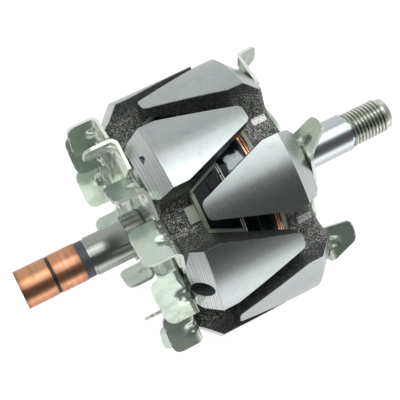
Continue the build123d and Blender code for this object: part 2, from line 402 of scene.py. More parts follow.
@dataclass(frozen=True)
class PoleSteel(Finish):
    """Pole half: satin turned outside and cone, rough dark forging everywhere else."""

    turned: Colour = (0.46, 0.50, 0.49)
    clouded: Colour = (0.32, 0.35, 0.36)
    smeared: Colour = (0.25, 0.25, 0.26)
    grooved: Colour = (0.80, 0.82, 0.79)
    forged: Colour = (0.034, 0.038, 0.039)
    # partly real grain, partly painted glints: bright specks where grains catch the light
    speck_glint: Colour = (0.78, 0.81, 0.72)
    # painted highlight: bright bars where a lamp glints on the drive notches' fillets
    painted_notch_glint: Colour = (0.92, 0.93, 0.92)
    # painted shade: the dark inside of two drilled holes that are not modelled
    painted_hole_shade: Colour = (0.10, 0.12, 0.13)
    skin: Span = (-0.30 * MM, -0.14 * MM)
    face_x: Span = (SIZES.face_x - 0.12 * MM, SIZES.face_x - 0.04 * MM)
    cone_x: Span = (SIZES.land_x, SIZES.land_x + 0.1 * MM)
    mark: float = 0.20 * MM
    coarse_mark: float = 0.9 * MM
    mark_depth: float = 0.0022 * MM
    cloud: Noise = (14 * MM, 4)
    cloud_share: float = 0.60
    smear: Noise = (4 * MM, 5, 0.65)
    smear_edge: Span = (0.5, 0.75)
    smear_share: float = 0.3
    groove: float = 0.30 * MM
    groove_edge: Span = (0.42, 0.60)
    groove_share: float = 0.7
    grain: Noise = (0.46 * MM, 4, 0.8)
    grain_edge: Span = (0.50, 0.61)
    spots: Noise = (2.6 * MM, 4, 0.6)
    spot_edge: Span = (0.24, 0.54)
    web_x: Span = (11.5 * MM, 15.0 * MM)
    web_r: Span = (46.0 * MM, 40.0 * MM)
    web_glint_share: float = 0.76
    speck_glint_share: float = 0.20
    forged_depth: float = 0.12 * MM
    glint_start_x: Span = (19.2 * MM, 19.8 * MM)
    glint_end_x: Span = (25.1 * MM, 24.9 * MM)
    glint_r: Span = (SIZES.notch_r + 4.0 * MM, SIZES.notch_r + 2.0 * MM)
    glint_y: Span = (-1 * MM, 1 * MM)
    glint_angle: float = 36.5
    glint_width: Span = (2.6, 1.8)
    glint_edge: Span = (0.38, 0.48)
    drillings: tuple[tuple[float, float, float], ...] = (
        (33.4, -24.0 * MM, 3.2 * MM),
        (-33.3, -24.8 * MM, 1.8 * MM),
    )
    cut_roughness: Span = (0.21, 0.33)
    forged_roughness: Span = (0.28, 0.55)
    metallic: Span = (0.35, 1.0)

    def cut(self, graph: Graph) -> Socket:
        """Mark the surfaces that a tool has cut: outside, cone and end face.

        Args:
            graph: where the nodes go.

        Returns:
            The mark's socket, 1 where the steel is cut.
        """
        x, radius = graph.axial()
        reach = graph.math("ABSOLUTE", x)
        past = graph.math("MAXIMUM", graph.math("SUBTRACT", reach, SIZES.land_x), 0.0)
        slope = (SIZES.pole_r - SIZES.face_r) / (SIZES.face_x - SIZES.land_x)
        surface = graph.math("SUBTRACT", SIZES.pole_r, graph.times(past, slope))
        outside = graph.steps(graph.math("SUBTRACT", radius, surface), *self.skin)
        return graph.math("MAXIMUM", outside, graph.steps(reach, *self.face_x))

    def turning(self, graph: Graph) -> Socket:
        """Give the colour of the turned steel, with brighter grooves on the cone.

        Args:
            graph: where the nodes go.

        Returns:
            The colour's socket.
        """
        x, _ = graph.axial()
        on_cone = graph.steps(graph.math("ABSOLUTE", x), *self.cone_x)
        cloud = graph.times(graph.noise(*self.cloud), self.cloud_share)
        smear = graph.steps(graph.noise(*self.smear), *self.smear_edge)
        groove = graph.steps(graph.lathe_marks(self.groove), *self.groove_edge)
        groove = graph.times(groove, on_cone)
        tone = graph.mix(cloud, self.turned, self.clouded)
        tone = graph.mix(graph.times(smear, self.smear_share), tone, self.smeared)
        return graph.mix(graph.times(groove, self.groove_share), tone, self.grooved)

    def notch_glint(self, graph: Graph, grain: Socket) -> Socket:
        """Mark the painted highlight bar on one side of each drive notch, where a lamp glints on
        the notch's fillet.

        Args:
            graph: where the nodes go.
            grain: the forging's grain.

        Returns:
            The mark's socket, 1 on a bar.
        """
        x, radius = graph.axial()
        _, y, _ = graph.xyz()
        # painted highlight: the sign of y picks which side of each notch gets the bar
        front = graph.steps(y, *self.glint_y)
        back = graph.math("SUBTRACT", 1.0, front)
        aside = graph.math(
            "ADD",
            graph.times(front, graph.off_angle(-self.glint_angle)),
            graph.times(back, graph.off_angle(self.glint_angle)),
        )
        bar = graph.times(graph.steps(x, *self.glint_start_x), graph.steps(x, *self.glint_end_x))
        bar = graph.times(bar, graph.steps(radius, *self.glint_r))
        bar = graph.times(bar, graph.steps(aside, *self.glint_width))
        return graph.times(bar, graph.steps(grain, *self.glint_edge))

    def forging(self, graph: Graph, grain: Socket, spots: Socket) -> Socket:
        """Give the colour of the forged steel: dark, with bright specks that are partly grain and
        partly painted glints, densest on the web, plus painted highlight bars and painted hole
        shade.

        Args:
            graph: where the nodes go.
            grain: its grain.
            spots: where the grain is stronger.

        Returns:
            The colour's socket.
        """
        x, radius = graph.axial()
        reach = graph.math("ABSOLUTE", x)
        on_web = graph.times(graph.steps(reach, *self.web_x), graph.steps(radius, *self.web_r))
        # painted glints: the specks are made strongest on the lit web
        share = graph.math("ADD", graph.times(on_web, self.web_glint_share), self.speck_glint_share)
        speck = graph.times(
            graph.steps(grain, *self.grain_edge), graph.steps(spots, *self.spot_edge)
        )
        hole = graph.math("MAXIMUM", *(graph.drilling(*place) for place in self.drillings))
        # specks: partly grain, partly painted glints
        tone = graph.mix(graph.times(speck, share), self.forged, self.speck_glint)
        # painted highlight bars on the drive notches
        tone = graph.mix(self.notch_glint(graph, grain), tone, self.painted_notch_glint)
        # painted shade standing in for the drilled holes
        return graph.mix(hole, tone, self.painted_hole_shade)

    def draw(self, graph: Graph) -> None:
        """Add the nodes of the pole halves.

        Args:
            graph: where they go.
        """
        cut = self.cut(graph)
        rough = graph.math("SUBTRACT", 1.0, cut)
        grain, spots = graph.noise(*self.grain), graph.noise(*self.spots)
        marks, coarse = graph.lathe_marks(self.mark), graph.lathe_marks(self.coarse_mark)
        roughness = graph.add("ShaderNodeMix", {
            0: cut,
            2: graph.spread(spots, *self.forged_roughness),
            3: graph.spread(marks, *self.cut_roughness),
        })
        pitted = graph.times(rough, graph.math("ADD", grain, spots))
        scored = graph.times(cut, graph.math("ADD", marks, coarse))
        normal = graph.bump(pitted, self.forged_depth)
        graph.finish({
            "Base Color": graph.mix(cut, self.forging(graph, grain, spots), self.turning(graph)),
            "Metallic": graph.spread(cut, *self.metallic),
            "Roughness": roughness.outputs[0],
            "Normal": graph.bump(scored, self.mark_depth, normal),
        })


@dataclass(frozen=True)
class PlainSteel(Finish):
    """Steel core inside the body."""

    colour: Colour = (0.25, 0.25, 0.25)
    clouded: Colour = (0.12, 0.12, 0.12)
    cloud: Noise = (2 * MM, 4)
    depth: float = 0.05 * MM

    def draw(self, graph: Graph) -> None:
        """Add the nodes of the core.

        Args:
            graph: where they go.
        """
        cloud = graph.noise(*self.cloud)
        graph.finish({
            "Base Color": graph.mix(cloud, self.colour, self.clouded),
            "Metallic": 0.9,
            "Roughness": 0.5,
            "Normal": graph.bump(cloud, self.depth),
        })


@dataclass(frozen=True)
class Copper(Finish):
    """Slip ring: brushed copper with darker blotches and browned outer edges."""

    colour: Colour = (0.64, 0.29, 0.155)
    blotched: Colour = (0.42, 0.23, 0.14)
    banded: Colour = (0.82, 0.56, 0.40)
    browned: Colour = (0.26, 0.14, 0.09)
    cloud: Noise = (3.2 * MM, 5, 0.65)
    cloud_edge: Span = (0.35, 0.75)
    band: float = 1.6 * MM
    band_edge: Span = (0.4, 0.8)
    band_share: float = 0.3
    inner_x: Span = (-57.6 * MM, -54.8 * MM)
    outer_x: Span = (-76.6 * MM, -78.2 * MM)
    brown_share: float = 0.6
    mark: float = 0.12 * MM
    mark_depth: float = 0.005 * MM
    roughness: Span = (0.22, 0.42)

    def draw(self, graph: Graph) -> None:
        """Add the nodes of the slip rings.

        Args:
            graph: where they go.
        """
        x, _ = graph.axial()
        marks = graph.lathe_marks(self.mark)
        cloud = graph.steps(graph.noise(*self.cloud), *self.cloud_edge)
        bands = graph.steps(graph.lathe_marks(self.band), *self.band_edge)
        ends = graph.math(
            "MAXIMUM", graph.steps(x, *self.inner_x), graph.steps(x, *self.outer_x)
        )
        tone = graph.mix(cloud, self.colour, self.blotched)
        tone = graph.mix(graph.times(bands, self.band_share), tone, self.banded)
        tone = graph.mix(graph.times(ends, self.brown_share), tone, self.browned)
        graph.finish({
            "Base Color": tone,
            "Metallic": 1.0,
            "Roughness": graph.spread(marks, *self.roughness),
            "Normal": graph.bump(marks, self.mark_depth),
        })


@dataclass(frozen=True)
class Moulding(Finish):
    """Moulded plastic with a faint grain and a tone that drifts."""

    colour: Colour = (0.045, 0.06, 0.068)
    drifted: Colour = (0.075, 0.095, 0.105)
    drift: Noise = (5 * MM, 3)
    grain: Noise = (0.35 * MM, 3)
    grain_depth: float = 0.02 * MM
    roughness: float = 0.42

    def tone(self, graph: Graph) -> Socket:
        """Give the moulding's colour.

        Args:
            graph: where the nodes go.

        Returns:
            The colour's socket.
        """
        return graph.mix(graph.noise(*self.drift), self.colour, self.drifted)

    def draw(self, graph: Graph) -> None:
        """Add the nodes of the moulding.

        Args:
            graph: where they go.
        """
        graph.finish({
            "Base Color": self.tone(graph),
            "Roughness": self.roughness,
            "Normal": graph.bump(graph.noise(*self.grain), self.grain_depth),
        })


@dataclass(frozen=True)
class CarrierPlastic(Moulding):
    """Moulding of the slip rings' carrier: nearly black from the divider outwards."""

    dark_divider_and_lap_glint: Colour = (0.022, 0.020, 0.018)
    dark_from_x: Span = (-64.6 * MM, -65.0 * MM)

    def tone(self, graph: Graph) -> Socket:
        """Give the moulding's colour.

        Args:
            graph: where the nodes go.

        Returns:
            The colour's socket.
        """
        x, _ = graph.axial()
        # nearly black from the divider outwards
        return graph.mix(graph.steps(x, *self.dark_from_x), super().tone(graph), self.dark_divider_and_lap_glint)


@dataclass(frozen=True)
class Nylon(Moulding):
    """Pale moulding of the bobbin, with painted shade on its flanges and on the petals under the
    claws.
    """

    colour: Colour = (0.56, 0.62, 0.52)
    drifted: Colour = (0.44, 0.50, 0.39)
    # painted shade: the flanges and petals are darkened where the claws shade them
    flange: Colour = (0.33, 0.38, 0.29)
    petal_shade: Colour = (0.21, 0.25, 0.22)
    flange_shade_x: Span = (SIZES.web_x, SIZES.web_x - 0.3 * MM)
    petal_shade_x: Span = (12.8 * MM, 11.0 * MM)
    roughness: float = 0.36

    def tone(self, graph: Graph) -> Socket:
        """Give the moulding's colour.

        Args:
            graph: where the nodes go.

        Returns:
            The colour's socket.
        """
        x, _ = graph.axial()
        reach = graph.math("ABSOLUTE", x)
        # painted shade on the flanges and on the petals under the claws
        tone = graph.mix(graph.steps(reach, *self.flange_shade_x), super().tone(graph), self.flange)
        return graph.mix(graph.steps(reach, *self.petal_shade_x), tone, self.petal_shade)


@dataclass(frozen=True)
class Varnish(Finish):
    """Black varnished wrap: glossy, with small runs, a painted highlight patch and two painted
    highlight lines along its lap.
    """

    colour: Colour = (0.008, 0.010, 0.012)
    clouded: Colour = (0.014, 0.020, 0.024)
    # painted highlight: pale patch where the lamp glints on the wrap
    painted_highlight: Colour = (0.86, 0.94, 0.97)
    # painted highlight: pale lines where the lap's edge catches the light
    dark_divider_and_lap_glint: Colour = (0.85, 0.88, 0.90)
    lumps: Noise = (7.0 * MM, 1, 0.3)
    fine: Noise = (1.6 * MM, 2, 0.4)
    fine_edge: Span = (0.4, 0.8)
    fine_share: float = 0.06
    depth: float = 0.5 * MM
    glint_breakup: Noise = (2.8 * MM, 4, 0.6)
    glint_breakup_share: float = 1.8
    highlight_angle: float = -16.0
    highlight_turn: Span = (10.0, 3.0)
    highlight_x: float = 5.4 * MM
    highlight_reach: Span = (5.0 * MM, 2.6 * MM)
    highlight_edge: Span = (1.55, 1.90)
    highlight_share: float = 0.95
    laps_x: float = -0.9 * MM
    lap_apart: float = 0.42 * MM
    lap_width: Span = (0.27 * MM, 0.14 * MM)
    lap_edge: Span = (0.40, 0.48)

    def highlight_patch(self, graph: Graph, glint_breakup: Socket) -> Socket:
        """Mark the painted highlight patch, where the lamp's glint on the wrap is painted in.

        Args:
            graph: where the nodes go.
            glint_breakup: noise that breaks up the painted highlights.

        Returns:
            The mark's socket, 1 on the painted highlight.
        """
        x, _ = graph.axial()
        near = graph.times(
            graph.steps(graph.off_angle(self.highlight_angle), *self.highlight_turn),
            graph.steps(graph.gap(x, self.highlight_x), *self.highlight_reach),
        )
        total = graph.math("ADD", near, graph.times(glint_breakup, self.glint_breakup_share))
        return graph.steps(total, *self.highlight_edge)

    def lap_glints(self, graph: Graph, glint_breakup: Socket) -> Socket:
        """Mark two painted highlight lines round the wrap along its lap.

        Args:
            graph: where the nodes go.
            glint_breakup: noise that breaks up the painted highlights.

        Returns:
            The mark's socket, 1 on a line.
        """
        x, _ = graph.axial()
        away = graph.gap(graph.gap(x, self.laps_x), self.lap_apart)
        return graph.times(
            graph.steps(away, *self.lap_width), graph.steps(glint_breakup, *self.lap_edge)
        )

    def draw(self, graph: Graph) -> None:
        """Add the nodes of the wrap.

        Args:
            graph: where they go.
        """
        glint_breakup, fine = graph.noise(*self.glint_breakup), graph.noise(*self.fine)
        runs = graph.math("ADD", graph.noise(*self.lumps), graph.times(fine, self.fine_share))
        tone = graph.mix(graph.steps(fine, *self.fine_edge), self.colour, self.clouded)
        # painted highlight patch on the wrap
        highlight_patch = graph.times(self.highlight_patch(graph, glint_breakup), self.highlight_share)
        tone = graph.mix(highlight_patch, tone, self.painted_highlight)
        graph.finish({
            # painted highlight lines along the lap
            "Base Color": graph.mix(self.lap_glints(graph, glint_breakup), tone, self.dark_divider_and_lap_glint),
            "Roughness": 0.16,
            "Specular IOR Level": 0.16,
            "Normal": graph.bump(runs, self.depth),
        })


@dataclass(frozen=True)
class Wire(Finish):
    """Enamelled copper wire."""

    colour: Colour = (0.62, 0.27, 0.14)
    clouded: Colour = (0.78, 0.50, 0.36)
    cloud: Noise = (2.5 * MM, 3)
    cloud_edge: Span = (0.35, 0.7)

    def draw(self, graph: Graph) -> None:
        """Add the nodes of the wire.

        Args:
            graph: where they go.
        """
        cloud = graph.steps(graph.noise(*self.cloud), *self.cloud_edge)
        graph.finish({
            "Base Color": graph.mix(cloud, self.colour, self.clouded),
            "Metallic": 0.75,
            "Roughness": 0.22,
            "Coat Weight": 0.5,
            "Coat Roughness": 0.1,
        })


@dataclass(frozen=True)
class Zinc(Finish):
    """Zinc plated and passivated sheet: pale green-grey, yellow in patches, paler lobes."""

    colour: Colour = (0.58, 0.67, 0.60)
    clouded: Colour = (0.38, 0.47, 0.39)
    tinted: Colour = (0.58, 0.64, 0.46)
    drive: Colour = (0.22, 0.29, 0.22)
    lobe: Colour = (0.84, 0.90, 0.80)
    flecked: Colour = (0.86, 0.90, 0.82)
    cloud: Noise = (8 * MM, 4)
    cloud_edge: Span = (0.34, 0.72)
    cloud_share: float = 0.60
    patch: Noise = (9 * MM, 2)
    patch_edge: Span = (0.46, 0.66)
    patch_share: float = 0.45
    drive_x: Span = (-1 * MM, 1 * MM)
    drive_share: float = 0.45
    lobe_x: Span = (SIZES.face_x + 3.2 * MM, SIZES.face_x + 1.5 * MM)
    lobe_r: Span = (28.0 * MM, 33.0 * MM)
    lobe_share: float = 0.75
    grain: Noise = (0.5 * MM, 4, 0.75)
    grain_edge: Span = (0.54, 0.70)
    grain_share: float = 0.5
    grain_depth: float = 0.02 * MM
    waves: Noise = (3.2 * MM, 2, 0.4)
    wave_depth: float = 0.075 * MM
    roughness: Span = (0.12, 0.32)

    def tone(self, graph: Graph, grain: Socket) -> Socket:
        """Give the sheet's colour.

        Args:
            graph: where the nodes go.
            grain: the plating's grain.

        Returns:
            The colour's socket.
        """
        x, radius = graph.axial()
        reach = graph.math("ABSOLUTE", x)
        cloud = graph.steps(graph.noise(*self.cloud), *self.cloud_edge)
        patch = graph.steps(graph.noise(*self.patch), *self.patch_edge)
        drive = graph.steps(x, *self.drive_x)
        lobe = graph.times(graph.steps(reach, *self.lobe_x), graph.steps(radius, *self.lobe_r))
        fleck = graph.steps(grain, *self.grain_edge)
        tone = graph.mix(graph.times(cloud, self.cloud_share), self.colour, self.clouded)
        tone = graph.mix(graph.times(patch, self.patch_share), tone, self.tinted)
        tone = graph.mix(graph.times(drive, self.drive_share), tone, self.drive)
        tone = graph.mix(graph.times(lobe, self.lobe_share), tone, self.lobe)
        return graph.mix(graph.times(fleck, self.grain_share), tone, self.flecked)

    def draw(self, graph: Graph) -> None:
        """Add the nodes of the zinc plate.

        Args:
            graph: where they go.
        """
        grain = graph.noise(*self.grain)
        normal = graph.bump(graph.noise(*self.waves), self.wave_depth)
        graph.finish({
            "Base Color": self.tone(graph, grain),
            "Metallic": 0.76,
            "Roughness": graph.spread(grain, *self.roughness),
            "Coat Weight": 0.60,
            "Coat Roughness": 0.06,
            "Normal": graph.bump(grain, self.grain_depth, normal),
        })


@dataclass(frozen=True)
class ShearedEdge(Finish):
    """Sheared edge of the sheet, brighter than its faces."""

    colour: Colour = (0.88, 0.92, 0.86)
    grained: Colour = (0.74, 0.79, 0.72)
    grain: Noise = (0.4 * MM, 3)
    depth: float = 0.02 * MM

    def draw(self, graph: Graph) -> None:
        """Add the nodes of the sheared edges.

        Args:
            graph: where they go.
        """
        grain = graph.noise(*self.grain)
        graph.finish({
            "Base Color": graph.mix(grain, self.colour, self.grained),
            "Metallic": 0.45,
            "Roughness": 0.30,
            "Normal": graph.bump(grain, self.depth),
        })


@dataclass
class Paints:
    """All the finishes of the rotor, each made once."""

    shaft: bpy.types.Material = field(default_factory=GroundSteel("ground_steel").make)
    pole: bpy.types.Material = field(default_factory=PoleSteel("pole_steel_surface").make)
    core: bpy.types.Material = field(default_factory=PlainSteel("core_steel").make)
    copper: bpy.types.Material = field(default_factory=Copper("brushed_copper").make)
    plastic: bpy.types.Material = field(default_factory=CarrierPlastic("dark_moulding").make)
    nylon: bpy.types.Material = field(default_factory=Nylon("pale_nylon").make)
    varnish: bpy.types.Material = field(default_factory=Varnish("black_varnish").make)
    wire: bpy.types.Material = field(default_factory=Wire("enamelled_wire").make)
    zinc: bpy.types.Material = field(default_factory=Zinc("zinc_plate").make)
    edge: bpy.types.Material = field(default_factory=ShearedEdge("sheared_edge").make)


def to_piece(
    name: str,
    shape: bmesh.types.BMesh,
    materials: Iterable[bpy.types.Material],
    smooth_deg: float = 32.0,
) -> bpy.types.Object:
    """Turn a finished shape into a piece that rides on the rotor.

    Args:
        name: the piece's name.
        shape: its mesh, which is freed.
        materials: its materials in slot order.
        smooth_deg: edges that turn more than this stay sharp.

    Returns:
        The new object.
    """
    bmesh.ops.recalc_face_normals(shape, faces=shape.faces)
    mesh = bpy.data.meshes.new(name)
    shape.to_mesh(mesh)
    shape.free()
    for material in materials:
        mesh.materials.append(material)
    mesh.shade_smooth()
    mesh.set_sharp_from_angle(angle=math.radians(smooth_deg))
    piece = bpy.data.objects.new(name, mesh)
    bpy.context.scene.collection.objects.link(piece)
    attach(piece, "root")
    return piece


def spin_profile(
    shape: bmesh.types.BMesh, points: Iterable[tuple[float, float]], steps: int = 128
) -> None:
    """Turn an (x, r) profile about the shaft's axis.

    Args:
        shape: where the surface goes.
        points: the profile in millimetres.
        steps: facets round the axis.
    """
    verts = [shape.verts.new((x * MM, 0.0, radius * MM)) for x, radius in points]
    edges = [shape.edges.new(pair) for pair in zip(verts, verts[1:])]
    bmesh.ops.spin(
        shape,
        geom=verts + edges,
        cent=(0, 0, 0),
        axis=(1, 0, 0),
        angle=math.tau,
        steps=steps,
        use_merge=True,
    )


@dataclass
class SubAssembly:
    """One part of the scene, which main() builds."""

    def build(self) -> list[str]:
        """Make its pieces.

        Returns:
            Their names.
        """
        raise NotImplementedError


@dataclass
class Shaft(SubAssembly):
    """Shaft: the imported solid, with a real thread in place of its plain thread length."""

    paints: Paints
    around: int = 96
    per_pitch: int = 14
    weld: float = 0.002 * MM
    cut_in: float = 0.02 * MM
    flat_deg: float = 0.4
    crest_share: float = 0.10
    flank_share: float = 0.74
    crest_below: float = 0.02 * MM
    root_above: float = 0.03 * MM
    head_slope: float = 0.9

    def build(self) -> list[str]:
        """Make the shaft and its thread.

        Returns:
            The piece's name.
        """
        shape = bmesh.new()
        shape.from_mesh(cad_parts["shaft"].data)
        bmesh.ops.remove_doubles(shape, verts=shape.verts, dist=self.weld)
        for x in (SIZES.thread_x + self.cut_in, SIZES.dog_x - self.cut_in):
            self.cut(shape, x)
        middle = 0.5 * (SIZES.thread_x + SIZES.dog_x)
        reach = 0.5 * (SIZES.dog_x - SIZES.thread_x) - 1.5 * self.cut_in
        inside = [f for f in shape.faces if abs(f.calc_center_median().x - middle) < reach]
        bmesh.ops.delete(shape, geom=inside, context="FACES")
        self.thread(shape)
        bmesh.ops.dissolve_limit(
            shape,
            angle_limit=math.radians(self.flat_deg),
            verts=shape.verts,
            edges=shape.edges,
        )
        piece = to_piece("shaft_with_thread", shape, [self.paints.shaft])
        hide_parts("shaft")
        return [piece.name]

    def cut(self, shape: bmesh.types.BMesh, x: float) -> None:
        """Put a ring of edges round the shaft.

        Args:
            shape: the shaft's mesh.
            x: where the ring goes.
        """
        geom = shape.verts[:] + shape.edges[:] + shape.faces[:]
        bmesh.ops.bisect_plane(shape, geom=geom, plane_co=(x, 0, 0), plane_no=(1, 0, 0))

    def radius(self, x: float, turn: float) -> float:
        """Give the thread's surface.

        Args:
            x: distance along the shaft.
            turn: share of a whole turn.

        Returns:
            The radius there.
        """
        phase = ((x - SIZES.thread_x) / SIZES.thread_pitch - turn) % 1.0
        flank = abs(2.0 * phase - 1.0)
        depth = min(max((flank - self.crest_share) / self.flank_share, 0.0), 1.0)
        crest = SIZES.thread_r - self.crest_below
        thread = crest - depth * (crest - SIZES.dog_r - self.root_above)
        down = (x - SIZES.thread_end_x) / (SIZES.dog_x - SIZES.thread_end_x)
        tail = SIZES.thread_r - down * (SIZES.thread_r - SIZES.dog_r)
        head = SIZES.relief_r + (x - SIZES.thread_x) * self.head_slope
        return min(thread, tail, head)

    def thread(self, shape: bmesh.types.BMesh) -> None:
        """Add the threaded tube, closed at both ends.

        Args:
            shape: where it goes.
        """
        length = SIZES.dog_x - SIZES.thread_x
        rows = round(length / SIZES.thread_pitch * self.per_pitch)
        grid = bmesh.ops.create_grid(
            shape, x_segments=rows, y_segments=self.around, size=0.5
        )
        for vert in grid["verts"]:
            x = SIZES.thread_x + (vert.co.x + 0.5) * length
            turn = vert.co.y + 0.5
            radius = self.radius(x, turn)
            angle = math.tau * turn
            vert.co = (x, -radius * math.sin(angle), radius * math.cos(angle))
        bmesh.ops.remove_doubles(shape, verts=grid["verts"], dist=self.weld)
        open_edges = [edge for edge in shape.edges if edge.is_boundary]
        bmesh.ops.holes_fill(shape, edges=open_edges, sides=0)


@dataclass
class SlipRings(SubAssembly):
    """The two slip rings. Sizes in millimetres."""

    paints: Paints
    spans: dict[str, Span] = field(default_factory=lambda: {
        "slip_ring_outer": (-78.4, -66.3),
        "slip_ring_inner": (-65.1, -54.6),
    })
    bore_r: float = 6.0
    outside_r: float = 7.4
    ease: float = 0.22
    corner: float = 0.06
    weld: float = 0.001 * MM

    def build(self) -> list[str]:
        """Make both rings with eased edges.

        Returns:
            The pieces' names.
        """
        names = []
        for node, (start, end) in self.spans.items():
            shape = bmesh.new()
            spin_profile(shape, (
                (start, self.bore_r),
                (start, self.outside_r - self.ease),
                (start + self.corner, self.outside_r - self.corner),
                (start + self.ease, self.outside_r),
                (end - self.ease, self.outside_r),
                (end - self.corner, self.outside_r - self.corner),
                (end, self.outside_r - self.ease),
                (end, self.bore_r),
                (start, self.bore_r),
            ))
            bmesh.ops.remove_doubles(shape, verts=shape.verts, dist=self.weld)
            piece = to_piece(f"{node}_turned", shape, [self.paints.copper])
            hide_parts(node)
            names.append(piece.name)
        return names


@dataclass
class Winding(SubAssembly):
    """Black wrap over the coil, and the copper turns that it leaves bare. Millimetres."""

    paints: Paints
    rounds: int = 4
    tape_under: float = 0.35
    tape_start: Span = (0.25, 0.45)
    tape_middle: float = 0.75
    tape_edge: Span = (0.5, 0.78)
    tape_step: Span = (0.12, 0.68)
    tape_end: float = 0.4
    weld: float = 0.001 * MM
    wire_r: float = 0.42
    wire_at_r: float = 35.25
    wire_gap: float = 0.02
    wire_pitch: float = 2.04 * 0.42
    wire_facets: int = 10
    turns: float = 2.4
    per_turn: int = 96
    smooth_deg: float = 60.0

    def build(self) -> list[str]:
        """Make the wrap and the bare turns.

        Returns:
            The pieces' names.
        """
        return [self.wrap(), self.bare_turns()]

    def wrap(self) -> str:
        """Make the wrap: tape laid in overlapping rounds.

        Returns:
            The piece's name.
        """
        start, end, coil = -SIZES.coil_x / MM, SIZES.wrap_end_x / MM, SIZES.coil_r / MM
        step = (end - start) / self.rounds
        points = [(start, coil), (start, coil + self.tape_under)]
        for index in range(self.rounds):
            left = start + index * step
            points += [
                (left + self.tape_start[0], coil + self.tape_start[1]),
                (left + 0.5 * step, coil + self.tape_middle),
                (left + step - self.tape_edge[0], coil + self.tape_edge[1]),
                (left + step - self.tape_step[0], coil + self.tape_step[1]),
            ]
        points += [(end, coil + self.tape_end), (end, coil), (start, coil)]
        shape = bmesh.new()
        spin_profile(shape, points)
        bmesh.ops.remove_doubles(shape, verts=shape.verts, dist=self.weld)
        piece = to_piece("coil_tape", shape, [self.paints.varnish], self.smooth_deg)
        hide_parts("coil_wrap")
        return piece.name

    def bare_turns(self) -> str:
        """Make the last turns of wire on the coil, as one helix that ends inside the flange.

        Returns:
            The piece's name.
        """
        shape = bmesh.new()
        pitch = self.wire_pitch * MM
        start_x = SIZES.wrap_end_x + (self.wire_r + self.wire_gap) * MM
        ring = bmesh.ops.create_circle(
            shape,
            segments=self.wire_facets,
            radius=self.wire_r * MM,
            matrix=Matrix.Translation((start_x, 0, self.wire_at_r * MM))
            @ Matrix.Rotation(math.pi / 2, 4, "X"),
        )
        edges = list(dict.fromkeys(e for vert in ring["verts"] for e in vert.link_edges))
        bmesh.ops.spin(
            shape,
            geom=ring["verts"] + edges,
            cent=(0, 0, 0),
            axis=(1, 0, 0),
            dvec=(pitch / self.per_turn, 0, 0),
            angle=math.tau * self.turns,
            steps=round(self.per_turn * self.turns),
        )
        open_edges = [edge for edge in shape.edges if edge.is_boundary]
        bmesh.ops.holes_fill(shape, edges=open_edges, sides=0)
        piece = to_piece("bare_turns", shape, [self.paints.wire], self.smooth_deg)
        return piece.name


@dataclass(frozen=True)
class Press:
    """The marks that the press leaves on a blade, in millimetres."""

    gusset_half_width: float = 1.75
    gusset_half_length: float = 3.9
    gusset_depth: float = 1.05
    arch_below_bend: float = 6.2
    arch_r: float = 3.9
    arch_width: float = 0.62
    arch_depth: float = 0.52
    dot_past_bend: float = 0.6
    dot_r: float = 0.85
    dot_depth: float = 0.55


PRESS = Press()


